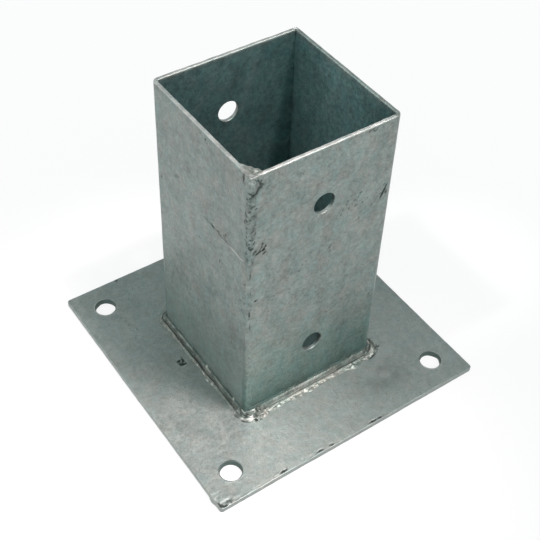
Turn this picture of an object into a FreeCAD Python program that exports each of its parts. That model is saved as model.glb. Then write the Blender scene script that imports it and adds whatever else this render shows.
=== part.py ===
"""Bolt-down timber post base: a square steel sleeve welded to a square base plate.

Frame: millimetres, +Z up, origin at the middle of the base plate's underside.
The sleeve is two equal folded angles, each with one bend, joined by two
upright corner seams and welded to the plate by four fillet runs.
"""
import FreeCAD, Part
import math
import os

from FreeCAD import Placement, Rotation, Vector
from Sketcher import Constraint

SIZES = {
    # base plate
    "plate_side": 150.0,
    "plate_sheet": 3.0,
    "plate_corner": 1.5,
    "plate_edge": 0.4,
    "anchor_dia": 10.5,
    "anchor_spacing": 120.0,
    # sleeve
    "socket": 71.0,
    "sheet": 2.0,
    "sleeve_length": 150.0,
    "bend_inside": 1.0,
    "bolt_dia": 10.5,
    "bolt_inset": 31.0,
    "rim_edge": 0.3,
    # upright seams: how far the cap stands in from the sharp corner
    "seam_hollow": 0.55,
    "burn_radius": 1.3,
    "burn_height": 12.0,
    # fillet runs at the foot
    "leg_up": 3.4,
    "leg_out": 3.5,
    "bead_hollow": 0.25,
}

# Lumps of weld metal: centre (x, y, z) and half sizes along x, y and z.
FOOT_LUMPS = {
    "foot_weld_front": [((39.2, -39.7, 3.2), (4.2, 2.9, 2.5))],
    "foot_weld_left": [((-38.4, -38.6, 3.2), (3.2, 3.0, 2.1))],
}
SEAM_LUMPS = [((-36.2, -36.2, 148.2), (2.2, 2.2, 4.4)), ((-34.4, -37.2, 112.5), (2.9, 0.9, 3.8))]
# Zinc that ran to the plate's front corner and froze on its left edge.
DRIP = ((-74.7, -68.0, 1.5), (1.1, 2.7, 1.3))

doc = FreeCAD.newDocument("PostBase")


def make_sheet():
    """Spreadsheet of driving dimensions, one alias a row."""
    sheet = doc.addObject("Spreadsheet::Sheet", "Sizes")
    for row, (alias, value) in enumerate(SIZES.items(), start=1):
        sheet.set(f"A{row}", alias)
        sheet.set(f"B{row}", str(value))
        sheet.setAlias(f"B{row}", alias)
    derived = {
        "outside": "=socket + 2 * sheet",
        "bend_outside": "=bend_inside + sheet",
        "half_out": "=outside / 2",
        "half_in": "=socket / 2",
        "straight": "=outside - 2 * bend_outside",
        "rim_height": "=plate_sheet + sleeve_length",
    }
    for row, (alias, formula) in enumerate(derived.items(), start=len(SIZES) + 1):
        sheet.set(f"A{row}", alias)
        sheet.set(f"B{row}", formula)
        sheet.setAlias(f"B{row}", alias)
    doc.recompute()
    return sheet


sizes = make_sheet()


def size(alias):
    """A dimension as a number, for placing geometry before it is constrained."""
    return float(sizes.get(alias))


def origin_plane(body, role):
    """One of a body's own origin planes."""
    return next(f for f in body.Origin.OriginFeatures if f.Role == role)


def new_sketch(body, name, role, offset=None):
    """A sketch on an origin plane of its body."""
    sketch = body.newObject("Sketcher::SketchObject", name)
    sketch.AttachmentSupport = [(origin_plane(body, role), "")]
    sketch.MapMode = "FlatFace"
    if offset is not None:
        sketch.AttachmentOffset = offset
    return sketch


def new_body(name):
    body = doc.addObject("PartDesign::Body", name)
    body.Label = name
    return body


def bind(sketch, constraint, name, expression):
    """Add a dimension to a sketch and drive it from the spreadsheet."""
    index = sketch.addConstraint(constraint)
    sketch.renameConstraint(index, name)
    sketch.setExpression(f"Constraints.{name}", expression)


def close_loop(sketch, edges):
    """Join each edge's end to the next one's start; each edge is (id, start, end)."""
    for (first, _, end), (second, start, _) in zip(edges, edges[1:] + edges[:1]):
        sketch.addConstraint(Constraint("Coincident", first, end, second, start))


def line(sketch, start, end):
    return sketch.addGeometry(Part.LineSegment(Vector(*start, 0), Vector(*end, 0)), False)


def edges_at_height(shape, height):
    """Names of the edges that lie wholly at one height."""
    names = []
    for number, edge in enumerate(shape.Edges, start=1):
        box = edge.BoundBox
        if abs(box.ZMin - height) < 1e-6 and abs(box.ZMax - height) < 1e-6:
            names.append(f"Edge{number}")
    return names


def upright_edges(shape, radius_from_axis):
    """Names of the straight upright edges about that far from the Z axis."""
    names = []
    for number, edge in enumerate(shape.Edges, start=1):
        box = edge.BoundBox
        upright = box.XLength < 1e-6 and box.YLength < 1e-6
        if upright and abs(math.hypot(box.XMin, box.YMin) - radius_from_axis) < 1.0:
            names.append(f"Edge{number}")
    return names


def ellipsoid(name, centre, half_sizes):
    """A lump of weld metal or zinc; Part::Ellipsoid takes its Z half size first."""
    lump = doc.addObject("Part::Ellipsoid", name)
    lump.Radius2, lump.Radius3, lump.Radius1 = half_sizes
    lump.Angle1, lump.Angle2, lump.Angle3 = -90, 90, 360
    lump.Placement = Placement(Vector(*centre), Rotation())
    return lump


def fuse(name, parts):
    if len(parts) == 1:
        return parts[0]
    joined = doc.addObject("Part::MultiFuse", name)
    joined.Shapes = parts
    return joined


def cut(name, base, tools):
    """Take each tool from the base in turn; the last cut carries the name."""
    for number, tool in enumerate(tools, start=1):
        result = doc.addObject("Part::Cut", name if number == len(tools) else f"{name}_less_{number}")
        result.Base = base
        result.Tool = tool
        result.Refine = True
        base = result
    return base


def make_plate_blank():
    """Square plate with blunt corners and four anchor holes."""
    body = new_body("plate_blank")
    half = size("plate_side") / 2
    sketch = new_sketch(body, "plate_outline", "XY_Plane")
    corners = [(-half, -half), (half, -half), (half, half), (-half, half)]
    sides = [line(sketch, a, b) for a, b in zip(corners, corners[1:] + corners[:1])]
    close_loop(sketch, [(side, 1, 2) for side in sides])
    for side, kind in zip(sides, ("Horizontal", "Vertical", "Horizontal", "Vertical")):
        sketch.addConstraint(Constraint(kind, side))
    sketch.addConstraint(Constraint("Symmetric", sides[0], 1, sides[2], 1, -1, 1))
    bind(sketch, Constraint("DistanceX", sides[0], 1, sides[0], 2, 2 * half), "width", "Sizes.plate_side")
    bind(sketch, Constraint("DistanceY", sides[1], 1, sides[1], 2, 2 * half), "depth", "Sizes.plate_side")
    pad = body.newObject("PartDesign::Pad", "plate_pad")
    pad.Profile = sketch
    pad.setExpression("Length", "Sizes.plate_sheet")
    doc.recompute()

    corner = body.newObject("PartDesign::Fillet", "plate_corners")
    corner.Base = (pad, upright_edges(pad.Shape, half * math.sqrt(2)))
    corner.setExpression("Radius", "Sizes.plate_corner")
    doc.recompute()

    edge = body.newObject("PartDesign::Fillet", "plate_sheared_edge")
    edge.Base = (corner, edges_at_height(corner.Shape, size("plate_sheet")))
    edge.setExpression("Radius", "Sizes.plate_edge")
    doc.recompute()

    at = size("anchor_spacing") / 2
    hole_sketch = new_sketch(body, "anchor_centre", "XY_Plane")
    circle = Part.Circle(Vector(at, at, 0), Vector(0, 0, 1), size("anchor_dia") / 2)
    hole_sketch.addGeometry(circle, False)
    bind(hole_sketch, Constraint("DistanceX", -1, 1, 0, 3, at), "along", "Sizes.anchor_spacing / 2")
    bind(hole_sketch, Constraint("DistanceY", -1, 1, 0, 3, at), "across", "Sizes.anchor_spacing / 2")
    bind(hole_sketch, Constraint("Diameter", 0, 2 * circle.Radius), "bore", "Sizes.anchor_dia")
    hole = body.newObject("PartDesign::Pocket", "anchor_hole")
    hole.Profile = hole_sketch
    hole.Type = "ThroughAll"
    hole.Midplane = True
    doc.recompute()

    ring = body.newObject("PartDesign::PolarPattern", "anchor_holes")
    ring.Originals = [hole]
    ring.Axis = (origin_plane(body, "Z_Axis"), "")
    ring.Angle = 360
    ring.Occurrences = 4
    body.Tip = ring
    doc.recompute()

    return body


def make_sheet_angle(name, turn):
    """One folded sheet: a holed leg on the -Y side and a plain leg on the +X side."""
    body = new_body(f"{name}_sheet")
    face, inner = size("half_out"), size("half_in")
    bend = face - size("bend_outside")
    r_out, r_in = size("bend_outside"), size("bend_inside")
    sketch = new_sketch(body, f"{name}_section", "XY_Plane")
    outer_front = line(sketch, (-inner, -face), (bend, -face))
    centre = Vector(bend, -bend, 0)
    outer_bend = sketch.addGeometry(
        Part.ArcOfCircle(Part.Circle(centre, Vector(0, 0, 1), r_out), -math.pi / 2, 0), False)
    outer_side = line(sketch, (face, -bend), (face, inner))
    side_end = line(sketch, (face, inner), (inner, inner))
    inner_side = line(sketch, (inner, inner), (inner, -bend))
    inner_bend = sketch.addGeometry(
        Part.ArcOfCircle(Part.Circle(centre, Vector(0, 0, 1), r_in), -math.pi / 2, 0), False)
    inner_front = line(sketch, (bend, -inner), (-inner, -inner))
    front_end = line(sketch, (-inner, -inner), (-inner, -face))
    for corner in ((outer_side, 2, side_end, 1), (side_end, 2, inner_side, 1),
                   (inner_front, 2, front_end, 1), (front_end, 2, outer_front, 1)):
        sketch.addConstraint(Constraint("Coincident", *corner))
    for joint in ((outer_front, 2, outer_bend, 1), (outer_bend, 2, outer_side, 1),
                  (inner_side, 2, inner_bend, 2), (inner_bend, 1, inner_front, 1)):
        sketch.addConstraint(Constraint("Tangent", *joint))
    for side in (outer_front, inner_front, side_end):
        sketch.addConstraint(Constraint("Horizontal", side))
    for side in (outer_side, inner_side, front_end):
        sketch.addConstraint(Constraint("Vertical", side))
    sketch.addConstraint(Constraint("Coincident", outer_bend, 3, inner_bend, 3))
    bind(sketch, Constraint("DistanceY", outer_front, 1, -1, 1, face), "front_face", "Sizes.half_out")
    bind(sketch, Constraint("DistanceX", -1, 1, outer_side, 1, face), "side_face", "Sizes.half_out")
    bind(sketch, Constraint("DistanceX", outer_front, 1, -1, 1, inner), "front_edge", "Sizes.half_in")
    bind(sketch, Constraint("DistanceY", -1, 1, outer_side, 2, inner), "side_edge", "Sizes.half_in")
    bind(sketch, Constraint("Radius", outer_bend, r_out), "outer_radius", "Sizes.bend_outside")
    bind(sketch, Constraint("Radius", inner_bend, r_in), "inner_radius", "Sizes.bend_inside")
    pad = body.newObject("PartDesign::Pad", f"{name}_fold")
    pad.Profile = sketch
    pad.setExpression("Length", "Sizes.sleeve_length")
    sketch.setExpression(".AttachmentOffset.Base.z", "Sizes.plate_sheet")
    doc.recompute()

    rim = body.newObject("PartDesign::Fillet", f"{name}_rim")
    rim.Base = (pad, edges_at_height(pad.Shape, size("rim_height")))
    rim.setExpression("Radius", "Sizes.rim_edge")
    doc.recompute()

    holes = new_sketch(body, f"{name}_bolt_centres", "XZ_Plane")
    low = size("plate_sheet") + size("bolt_inset")
    high = size("rim_height") - size("bolt_inset")
    for number, (height, expression) in enumerate((
            (low, "Sizes.plate_sheet + Sizes.bolt_inset"), (high, "Sizes.rim_height - Sizes.bolt_inset"))):
        holes.addGeometry(Part.Circle(Vector(0, height, 0), Vector(0, 0, 1), size("bolt_dia") / 2), False)
        holes.addConstraint(Constraint("PointOnObject", number, 3, -2))
        bind(holes, Constraint("DistanceY", -1, 1, number, 3, height), f"height_{number}", expression)
        bind(holes, Constraint("Diameter", number, size("bolt_dia")), f"bore_{number}", "Sizes.bolt_dia")
    punched = body.newObject("PartDesign::Pocket", f"{name}_bolt_holes")
    punched.Profile = holes
    punched.Type = "ThroughAll"
    punched.Midplane = True
    doc.recompute()
    body.Placement = Placement(Vector(), Rotation(Vector(0, 0, 1), turn))
    return body


def make_burn():
    """Where the front seam burnt through to the inside corner, just under the rim."""
    burn = doc.addObject("Part::Cylinder", "burn_through")
    inner, rim = size("half_in"), size("rim_height")
    burn.setExpression("Radius", "Sizes.burn_radius")
    burn.setExpression("Height", "Sizes.burn_height")
    burn.Placement = Placement(Vector(-inner, -inner, rim - size("burn_height")), Rotation())
    return burn


def make_seam_bead(name, turn):
    """Upright corner bead that fills the open corner between two sheet edges."""
    body = new_body(f"{name}_bead")
    face, inner = size("half_out"), size("half_in")
    crown = face - size("seam_hollow")
    sketch = new_sketch(body, f"{name}_section", "XY_Plane")
    root_front = line(sketch, (-inner, -inner), (-inner, -face))
    cap = sketch.addGeometry(
        Part.Arc(Vector(-inner, -face, 0), Vector(-crown, -crown, 0), Vector(-face, -inner, 0)), False)
    root_side = line(sketch, (-face, -inner), (-inner, -inner))
    ends = {"front": (cap, 1), "side": (cap, 2)}
    if sketch.getPoint(cap, 1).x < sketch.getPoint(cap, 2).x:
        ends = {"front": (cap, 2), "side": (cap, 1)}
    sketch.addConstraint(Constraint("Coincident", root_front, 2, *ends["front"]))
    sketch.addConstraint(Constraint("Coincident", *ends["side"], root_side, 1))
    sketch.addConstraint(Constraint("Coincident", root_side, 2, root_front, 1))
    sketch.addConstraint(Constraint("Vertical", root_front))
    sketch.addConstraint(Constraint("Horizontal", root_side))
    bind(sketch, Constraint("DistanceX", root_front, 1, -1, 1, inner), "root_x", "Sizes.half_in")
    bind(sketch, Constraint("DistanceY", root_front, 1, -1, 1, inner), "root_y", "Sizes.half_in")
    bind(sketch, Constraint("DistanceY", root_front, 2, root_front, 1, face - inner), "depth", "Sizes.sheet")
    bind(sketch, Constraint("DistanceX", root_side, 1, root_side, 2, face - inner), "width", "Sizes.sheet")
    half_chord = (face - inner) / math.sqrt(2)
    rise = half_chord - size("seam_hollow") * math.sqrt(2)
    cap_radius = (half_chord ** 2 + rise ** 2) / (2 * rise)
    chord = "(Sizes.sheet / sqrt(2))"
    bulge = "(Sizes.sheet / sqrt(2) - Sizes.seam_hollow * sqrt(2))"
    bind(sketch, Constraint("Radius", cap, cap_radius), "cap_radius",
         f"({chord} ^ 2 + {bulge} ^ 2) / (2 * {bulge})")
    sketch.setExpression(".AttachmentOffset.Base.z", "Sizes.plate_sheet")
    pad = body.newObject("PartDesign::Pad", f"{name}_run")
    pad.Profile = sketch
    pad.setExpression("Length", "Sizes.sleeve_length")
    doc.recompute()
    body.Placement = Placement(Vector(), Rotation(Vector(0, 0, 1), turn))

    return body


def finish_seam(name, bead, lumps, sheets, burn):
    """Add the lumps, the fill at the rim and the burnt-through core to a bead."""
    parts = [bead, make_corner_fill()]
    for number, (centre, half_sizes) in enumerate(lumps):
        parts.append(ellipsoid(f"{name}_lump_{number}", centre, half_sizes))
    outside = cut(f"{name}_metal", fuse(f"{name}_laid", parts), sheets)
    seam = fuse(name, [outside, burn])
    seam.Refine = True
    return seam


def make_corner_fill():
    """Weld metal that ran into the sleeve's inside corner at the rim."""
    body = new_body("corner_fill")
    inner, rim = size("half_in"), size("rim_height")
    # reach along the front wall, bulge of the free face, reach along the left wall, height
    levels = [
        (4.3, (2.55, 4.3), 8.0, rim - 0.25),
        (3.4, (1.9, 2.9), 5.2, rim - 4.0),
        (0.9, (0.4, 0.5), 1.1, rim - 11.0),
    ]
    sections = []
    for number, (front, (bulge_x, bulge_y), side, height) in enumerate(levels):
        sketch = new_sketch(body, f"fill_section_{number}", "XY_Plane",
                            Placement(Vector(0, 0, height), Rotation()))
        root, front_toe, side_toe = (-inner, -inner), (-inner + front, -inner), (-inner, -inner + side)
        line(sketch, root, front_toe)
        sketch.addGeometry(Part.Arc(Vector(*front_toe, 0), Vector(-inner + bulge_x, -inner + bulge_y, 0),
                                    Vector(*side_toe, 0)), False)
        line(sketch, side_toe, root)
        sections.append(sketch)
    loft = body.newObject("PartDesign::AdditiveLoft", "fill_loft")
    loft.Profile = sections[0]
    loft.Sections = sections[1:]
    loft.Ruled = True
    doc.recompute()
    return body


def foot_profile(sketch, wall, base):
    """Section of a fillet run: two legs and a slightly hollow face.

    The wall stands at -wall along the sketch's first axis, and the plate's top at base.
    """
    up, out, hollow = size("leg_up"), size("leg_out"), size("bead_hollow")
    root, top, toe = (-wall, base), (-wall, base + up), (-wall - out, base)
    wall_leg = line(sketch, root, top)
    middle = Vector(-wall - out / 2 + hollow, base + up / 2 - hollow, 0)
    face = sketch.addGeometry(Part.Arc(Vector(*top, 0), middle, Vector(*toe, 0)), False)
    plate_leg = line(sketch, toe, root)
    near_wall, near_toe = (1, 2) if sketch.getPoint(face, 1).x > sketch.getPoint(face, 2).x else (2, 1)
    sketch.addConstraint(Constraint("Coincident", wall_leg, 2, face, near_wall))
    sketch.addConstraint(Constraint("Coincident", face, near_toe, plate_leg, 1))
    sketch.addConstraint(Constraint("Coincident", plate_leg, 2, wall_leg, 1))
    sketch.addConstraint(Constraint("Vertical", wall_leg))
    sketch.addConstraint(Constraint("Horizontal", plate_leg))
    bind(sketch, Constraint("DistanceY", wall_leg, 1, wall_leg, 2, up), "leg_up", "Sizes.leg_up")
    bind(sketch, Constraint("DistanceX", plate_leg, 1, plate_leg, 2, out), "leg_out", "Sizes.leg_out")
    bind(sketch, Constraint("DistanceY", -1, 1, wall_leg, 1, base), "plate_top", "Sizes.plate_sheet")
    face_radius = (up ** 2 + out ** 2 + 8 * hollow ** 2) / (8 * math.sqrt(2) * hollow)
    bind(sketch, Constraint("Radius", face, face_radius), "face_radius",
         "(Sizes.leg_up ^ 2 + Sizes.leg_out ^ 2 + 8 * Sizes.bead_hollow ^ 2)"
         " / (8 * sqrt(2) * Sizes.bead_hollow)")
    return wall_leg


def make_foot_run(name, turn, lumps, neighbours):
    """Fillet run along the -Y side and round the bend at its +X end."""
    body = new_body(f"{name}_bead")
    face, base = size("half_out"), size("plate_sheet")
    bend = face - size("bend_outside")

    straight = new_sketch(body, f"{name}_section", "YZ_Plane")
    leg = foot_profile(straight, face, base)
    bind(straight, Constraint("DistanceX", leg, 1, -1, 1, face), "wall", "Sizes.half_out")
    pad = body.newObject("PartDesign::Pad", f"{name}_straight")
    pad.Profile = straight
    pad.setExpression("Length", "Sizes.straight")
    pad.Midplane = True
    doc.recompute()

    at_bend = Placement(Vector(-bend, 0, bend), Rotation())
    corner = new_sketch(body, f"{name}_bend_section", "YZ_Plane", at_bend)
    leg = foot_profile(corner, size("bend_outside"), base)
    bind(corner, Constraint("DistanceX", leg, 1, -1, 1, face - bend), "wall", "Sizes.bend_outside")
    corner.setExpression(".AttachmentOffset.Base.x", "-Sizes.straight / 2")
    corner.setExpression(".AttachmentOffset.Base.z", "Sizes.straight / 2")
    round_bend = body.newObject("PartDesign::Revolution", f"{name}_bend")
    round_bend.Profile = corner
    round_bend.ReferenceAxis = (corner, ["V_Axis"])
    round_bend.Angle = 90
    doc.recompute()
    if round_bend.Shape.BoundBox.XMax < face:
        round_bend.Reversed = True
        doc.recompute()
    body.Placement = Placement(Vector(), Rotation(Vector(0, 0, 1), turn))

    parts = [body]
    for number, (centre, half_sizes) in enumerate(lumps):
        parts.append(ellipsoid(f"{name}_lump_{number}", centre, half_sizes))
    return cut(name, fuse(f"{name}_metal", parts), neighbours)


def check(nodes):
    """Stop on any failed object or any sub-part that isn't one sound solid."""
    for obj in doc.Objects:
        if "Invalid" in obj.State or "Error" in obj.State:
            raise RuntimeError(f"{obj.Name} failed: {obj.State}")
    for node in nodes:
        shape = node.Shape
        if shape.isNull() or not shape.isValid():
            raise RuntimeError(f"{node.Label} has no sound shape")
        if len(shape.Solids) != 1:
            raise RuntimeError(f"{node.Label} holds {len(shape.Solids)} solids")


def main():
    blank = make_plate_blank()
    plate = fuse("base_plate", [blank, ellipsoid("zinc_drip", *DRIP)])
    plate.Refine = True

    sheets = [make_sheet_angle("sleeve_angle_front", 0), make_sheet_angle("sleeve_angle_rear", 180)]
    burn = make_burn()
    angles = [cut(sheet.Label.removesuffix("_sheet"), sheet, [burn]) for sheet in sheets]

    front_bead = make_seam_bead("seam_weld_front", 0)
    rear_bead = make_seam_bead("seam_weld_rear", 180)
    rear_bead.Label = "seam_weld_rear"
    seams = [finish_seam("seam_weld_front", front_bead, SEAM_LUMPS, sheets, burn), rear_bead]

    welded = [blank, *sheets, front_bead, rear_bead]
    runs = []
    for side, turn in (("left", -90), ("front", 0), ("right", 90), ("rear", 180)):
        name = f"foot_weld_{side}"
        runs.append(make_foot_run(name, turn, FOOT_LUMPS.get(name, []), welded + runs))
    doc.recompute()

    nodes = [plate, *angles, *seams, *runs]
    check(nodes)
    os.makedirs("parts", exist_ok=True)
    for node in nodes:
        node.Shape.exportStep(f"parts/{node.Label}.step")
        box = node.Shape.optimalBoundingBox()
        print(f"{node.Label:20s} {node.Shape.Volume:10.1f} mm3  x {box.XMin:7.2f} {box.XMax:7.2f}  "
              f"y {box.YMin:7.2f} {box.YMax:7.2f}  z {box.ZMin:7.2f} {box.ZMax:7.2f}")


main()
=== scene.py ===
"""Looks of the galvanised post base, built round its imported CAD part.

Lengths are in millimetres up to the moment a mesh is made, then in metres.
Frame: +Z up, origin at the middle of the base plate's underside. The sleeve's
front seam stands at (-x, -y); the holed walls face -Y and +Y.
"""
import math

import bpy
import numpy as np
from mathutils import Matrix, Vector

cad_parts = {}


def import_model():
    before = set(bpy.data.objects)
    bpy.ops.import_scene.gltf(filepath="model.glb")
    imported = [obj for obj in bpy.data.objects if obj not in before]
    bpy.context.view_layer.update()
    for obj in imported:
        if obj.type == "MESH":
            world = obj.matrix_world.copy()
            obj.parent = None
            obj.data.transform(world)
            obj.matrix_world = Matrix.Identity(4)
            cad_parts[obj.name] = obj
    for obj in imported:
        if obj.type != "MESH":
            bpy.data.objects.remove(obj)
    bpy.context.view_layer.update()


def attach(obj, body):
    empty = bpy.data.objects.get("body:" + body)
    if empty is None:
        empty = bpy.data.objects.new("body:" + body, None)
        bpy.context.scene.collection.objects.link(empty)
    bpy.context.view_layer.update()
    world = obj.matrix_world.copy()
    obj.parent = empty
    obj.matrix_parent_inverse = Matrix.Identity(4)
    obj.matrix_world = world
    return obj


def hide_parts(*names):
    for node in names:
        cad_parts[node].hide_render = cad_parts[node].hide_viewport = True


MM = 0.001
PLATE_HALF = 75.0
PLATE_TOP = 3.0
PLATE_CORNER = 1.5  # radius of the plate's corners
FACE = 37.5  # from the sleeve's centre to its outside,
INNER = 35.5  # to its inside
MIDDLE = 36.5  # and to the middle of a sheet
HALF_SHEET = FACE - MIDDLE
BEND_CENTRE = 34.5  # from the sleeve's centre to the axis of a bend
RIM = 153.0  # height of the mouth
HOLE_R = 5.25
ANCHOR = 60.0  # anchor holes, off the centre both ways
BOLT_HEIGHTS = (34.0, 122.0)
HOLE_EDGE = 0.35  # rounding at the mouth of a hole
HOLE_PATCH = 8.0  # half the side of the finer grid round a hole
PATCH_STEP = 2 * HOLE_PATCH / 26

CAMERA_AT = (-209.14, -285.83, 417.09)
CAMERA_AZIMUTH = -36.3486  # degrees from looking along +Y
CAMERA_ELEVATION = 46.04
CAMERA_ROLL = 2.5987
CAMERA_LENS = 70.593


# ---- noise

def lattice(cell, seed):
    """A repeatable random number from -1 to 1 for each whole-number cell."""
    x, y, z = (cell[..., axis].astype(np.int64) for axis in range(3))
    h = (x * 73856093) ^ (y * 19349663) ^ (z * 83492791) ^ (seed * 2654435761)
    h &= 0xFFFFFFFF
    h = (((h >> 15) ^ h) * 0x2C1B3C6D) & 0xFFFFFFFF
    h = (((h >> 12) ^ h) * 0x297A2D39) & 0xFFFFFFFF
    h = (h >> 15) ^ h
    return (h & 0xFFFF) / 32767.5 - 1.0


def noise(points, size, seed):
    """Smooth noise from -1 to 1 with lumps about size across."""
    p = np.asarray(points, float) / size
    base = np.floor(p)
    f = p - base
    f = f * f * (3 - 2 * f)
    total = np.zeros(p.shape[:-1])
    for corner in np.ndindex(2, 2, 2):
        weight = np.ones(p.shape[:-1])
        for axis in range(3):
            weight = weight * (f[..., axis] if corner[axis] else 1 - f[..., axis])
        total += weight * lattice(base + np.array(corner), seed)
    return total


def fbm(points, size, seed, octaves=3):
    """Noise at size, half of size and so on, each octave half as strong as the one before."""
    total, height = 0.0, 1.0
    for octave in range(octaves):
        total = total + height * noise(points, size / 2 ** octave, seed + 17 * octave)
        height *= 0.5
    return total


def bell(distance, width):
    return np.exp(-0.5 * (distance / width) ** 2)


def ramp(value, low, high):
    """0 up to low, 1 from high on, and an easy slope between."""
    t = np.clip((value - low) / (high - low), 0, 1)
    return t * t * (3 - 2 * t)


# ---- meshes

def make_mesh(name, points, faces, material, attributes):
    """A smooth mesh object from points in millimetres; points no face uses are dropped."""
    points = np.asarray(points, float)
    used = np.unique(np.concatenate([np.asarray(f, int).ravel() for f in faces]))
    order = np.full(len(points), -1)
    order[used] = np.arange(len(used))
    polygons = [tuple(order[list(f)]) for block in faces for f in np.asarray(block, int).tolist()]
    mesh = bpy.data.meshes.new(name)
    mesh.from_pydata((points[used] * MM).tolist(), [], polygons)
    mesh.validate()
    for key, values in attributes.items():
        layer = mesh.attributes.new(key, "FLOAT", "POINT")
        layer.data.foreach_set("value", np.asarray(values, np.float32)[used])
    mesh.polygons.foreach_set("use_smooth", [True] * len(mesh.polygons))
    mesh.materials.append(material)
    mesh.update()
    obj = bpy.data.objects.new(name, mesh)
    bpy.context.scene.collection.objects.link(obj)
    return obj


def stops_to_lines(stops):
    """Line positions from (position, step up to the next stop) pairs."""
    lines = [stops[0][0]]
    for (start, step), (end, _) in zip(stops, stops[1:]):
        count = max(1, round((end - start) / step))
        lines += [start + (end - start) * k / count for k in range(1, count + 1)]
    return np.array(lines)


def grid_faces(rows, columns):
    """Quads of a rows x columns block of points numbered row by row."""
    i, j = np.meshgrid(np.arange(rows - 1), np.arange(columns - 1), indexing="ij")
    a = (i * columns + j).ravel()
    return np.stack([a, a + columns, a + columns + 1, a + 1], -1)


def band_faces(ring_a, ring_b):
    """Quads between two closed rings of point numbers."""
    return np.stack([ring_a, np.roll(ring_a, -1), np.roll(ring_b, -1), ring_b], -1)


def pierced_grid(us, vs, holes):
    """A grid over us x vs with a round hole in the middle of the patch round each (u, v).

    Rings of points lead from the patch's square edge in to the circle. Returns the
    (u, v) points, the faces and the innermost ring of point numbers of each hole.
    """
    steps = 7
    crowding = 0.85  # below 1 the rings lie closer near the hole
    nu, nv = len(us), len(vs)
    grid = np.stack(np.meshgrid(us, vs, indexing="ij"), -1).reshape(-1, 2)
    keep = np.ones((nu - 1, nv - 1), bool)
    points, faces, rings = [grid], [], []
    count = len(grid)
    for cu, cv in holes:
        i0, i1 = (int(np.argmin(abs(us - (cu + side * HOLE_PATCH)))) for side in (-1, 1))
        j0, j1 = (int(np.argmin(abs(vs - (cv + side * HOLE_PATCH)))) for side in (-1, 1))
        keep[i0:i1, j0:j1] = False
        loop = [(i, j0) for i in range(i0, i1)] + [(i1, j) for j in range(j0, j1)]
        loop += [(i, j1) for i in range(i1, i0, -1)] + [(i0, j) for j in range(j1, j0, -1)]
        edge = np.array([i * nv + j for i, j in loop])
        around = grid[edge] - (cu, cv)
        circle = around / np.linalg.norm(around, axis=1)[:, None] * (HOLE_R + HOLE_EDGE)
        previous = edge
        for step in range(1, steps + 1):
            t = (step / steps) ** crowding
            points.append((cu, cv) + around * (1 - t) + circle * t)
            ring = count + np.arange(len(edge))
            count += len(edge)
            faces.append(band_faces(previous, ring))
            previous = ring
        rings.append(previous)
    i, j = np.nonzero(keep)
    a = i * nv + j
    faces.insert(0, np.stack([a, a + nv, a + nv + 1, a + 1], -1))
    return np.concatenate(points), faces, rings


def hole_wall(points, ring_a, ring_b, centre, axis, half_depth, ragged=0.0):
    """Rounded bore between two rings of points; returns new points and faces.

    The axis points from the centre to ring_a. Past the middle, the bore is uneven and
    tighter by about the ragged width.
    """
    axis = np.asarray(axis, float)

    def from_axis(place):
        return (place - centre) - np.outer((place - centre) @ axis, axis)

    from_a, from_b = from_axis(points[ring_a]), from_axis(points[ring_b])
    match = np.array([int(np.argmin(((from_b - p) ** 2).sum(1))) for p in from_a])
    unit = from_a / np.linalg.norm(from_a, axis=1)[:, None]
    # the rounded mouth: (width beyond the bore, depth below the face)
    mouth = [(0.12, 0.10), (0.02, 0.24), (0.0, 0.42)]
    profile = [(HOLE_R + wider, half_depth - below) for wider, below in mouth]
    profile += [(HOLE_R + wider, -half_depth + below) for wider, below in reversed(mouth)]
    new, faces = [], []
    previous, count = ring_a, len(points)
    for radius, depth in profile:
        rough = 0.06 * noise(unit * HOLE_R, 1.7, 5)
        if depth < 0:
            rough = rough - ragged * (0.6 + 0.8 * noise(unit * HOLE_R + centre, 2.4, 6))
        new.append(centre + unit * (radius + rough[:, None]) + axis * depth)
        ring = count + np.arange(len(ring_a))
        count += len(ring_a)
        faces.append(band_faces(previous, ring))
        previous = ring
    faces.append(band_faces(previous, ring_b[match]))
    return np.concatenate(new), faces


def bore_shade_and_highlight(offset):
    """Painted light in a bolt hole: a painted highlight on its lower part, painted shade on its
    upper part.
    """
    return np.clip(0.35 + 0.1 * offset[:, 2], -0.25, 0.8)


def foot_shade_share(height):
    """1 at the sleeve's foot, 0 from 60 mm up: how far the painted greenish shade at the foot
    reaches.
    """
    return 1 - ramp(height, 6, 60)


# ---- marks in the zinc
# Each mark is (u, v, half length, half width, lean in degrees, height, darkness).
# On the front wall u is x; on the left wall u is -y; v is the height.

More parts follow.
